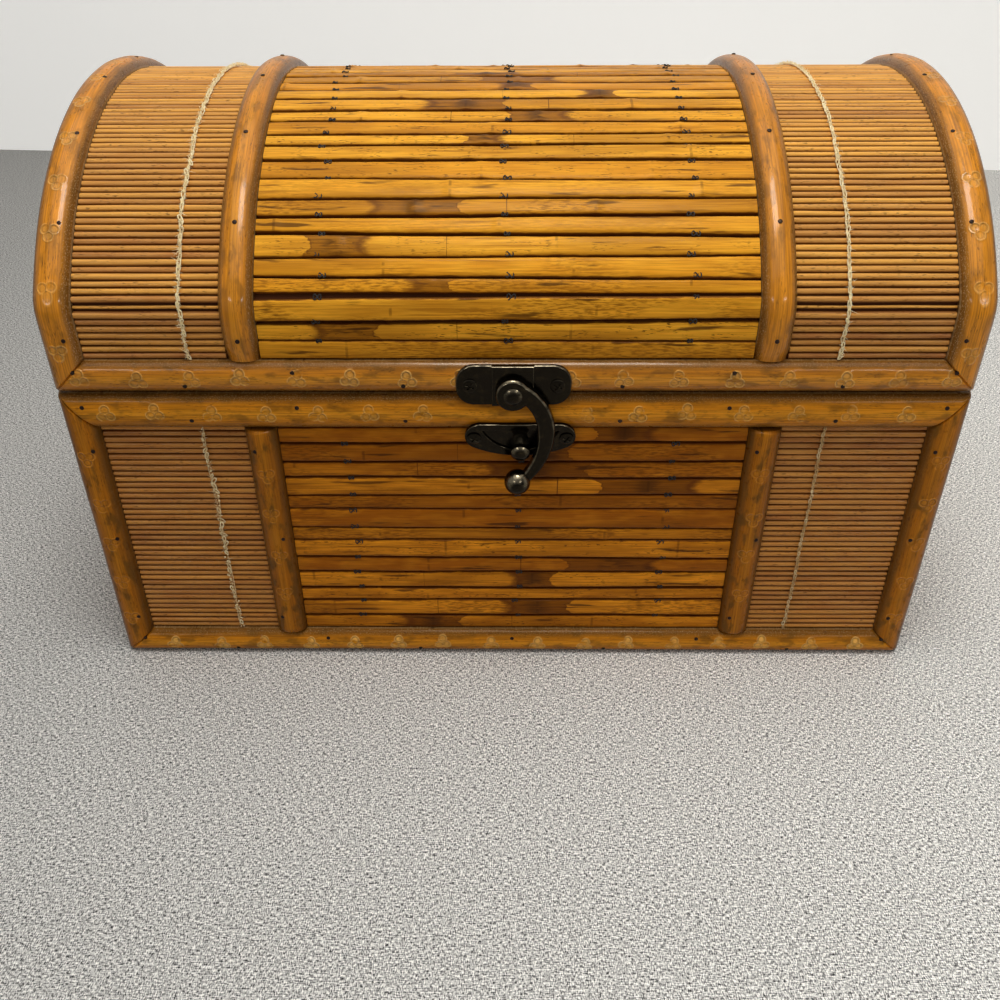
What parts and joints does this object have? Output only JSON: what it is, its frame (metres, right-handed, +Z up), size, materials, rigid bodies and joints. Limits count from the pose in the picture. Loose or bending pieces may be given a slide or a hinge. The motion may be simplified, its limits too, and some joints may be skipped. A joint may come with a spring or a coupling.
{
  "type": "storage trunk",
  "caption": "Dome-lidded storage trunk clad in bamboo slats and thin sticks, framed by half-round trims, with a hinged lid and a swing-hook latch.",
  "frame": {"origin": "centre of the base, on the surface the trunk stands on", "axes": "+Z up, +X to the right seen from the front, -Y towards the front with the latch"},
  "size_m": [0.33, 0.227, 0.2161],
  "materials": {
    "board": "raw",
    "slat": "gloss lacquer",
    "stick": "satin lacquer",
    "trim": "gloss lacquer",
    "yarn": "matte",
    "nail": "dark",
    "bronze": "antique dark bronze"
  },
  "bodies": {
    "box": {"floor_board": "board", "front_board": "board", "back_board": "board", "left_end_board": "board", "right_end_board": "board", "front_top_rail": "trim", "front_bottom_rail": "trim", "front_left_stile": "trim", "front_right_stile": "trim", "front_left_strap": "trim", "front_right_strap": "trim", "back_top_rail": "trim", "back_bottom_rail": "trim", "back_left_stile": "trim", "back_right_stile": "trim", "back_left_strap": "trim", "back_right_strap": "trim", "left_end_frame": "trim", "right_end_frame": "trim", "front_slats": "slat", "back_slats": "slat", "front_left_sticks": "stick", "front_right_sticks": "stick", "back_left_sticks": "stick", "back_right_sticks": "stick", "left_end_sticks": "stick", "right_end_sticks": "stick", "front_yarn": "yarn", "back_yarn": "yarn", "body_nails": "nail", "keeper_plate": "bronze", "keeper_screws": "bronze", "lower_hinge_leaves": "bronze", "hinge_pins": "bronze", "lower_hinge_screws": "bronze"},
    "lid": {"lid_front_board": "board", "lid_back_board": "board", "lid_left_end_board": "board", "lid_right_end_board": "board", "lid_dome_skin": "board", "lid_front_rail": "trim", "lid_back_rail": "trim", "lid_end_rails": "trim", "lid_left_band": "trim", "lid_right_band": "trim", "lid_left_strap": "trim", "lid_right_strap": "trim", "lid_slats": "slat", "lid_left_sticks": "stick", "lid_right_sticks": "stick", "lid_left_end_sticks": "stick", "lid_right_end_sticks": "stick", "lid_yarn": "yarn", "lid_nails": "nail", "latch_plate": "bronze", "latch_rivet": "bronze", "latch_screws": "bronze", "upper_hinge_leaves": "bronze", "upper_hinge_screws": "bronze"},
    "latch_hook": {"latch_hook": "bronze"}
  },
  "joints": [
    {"name": "lid_hinge", "type": "hinge", "parent": "box", "child": "lid", "pos_m": [0, 0.1058, 0.1245], "axis": [-1, 0, 0], "range_deg": [0, 104]},
    {"name": "latch_swing", "type": "hinge", "parent": "lid", "child": "latch_hook", "pos_m": [0, -0.1127, 0.1272], "axis": [0, -1, 0], "range_deg": [0, 120]}
  ]
}
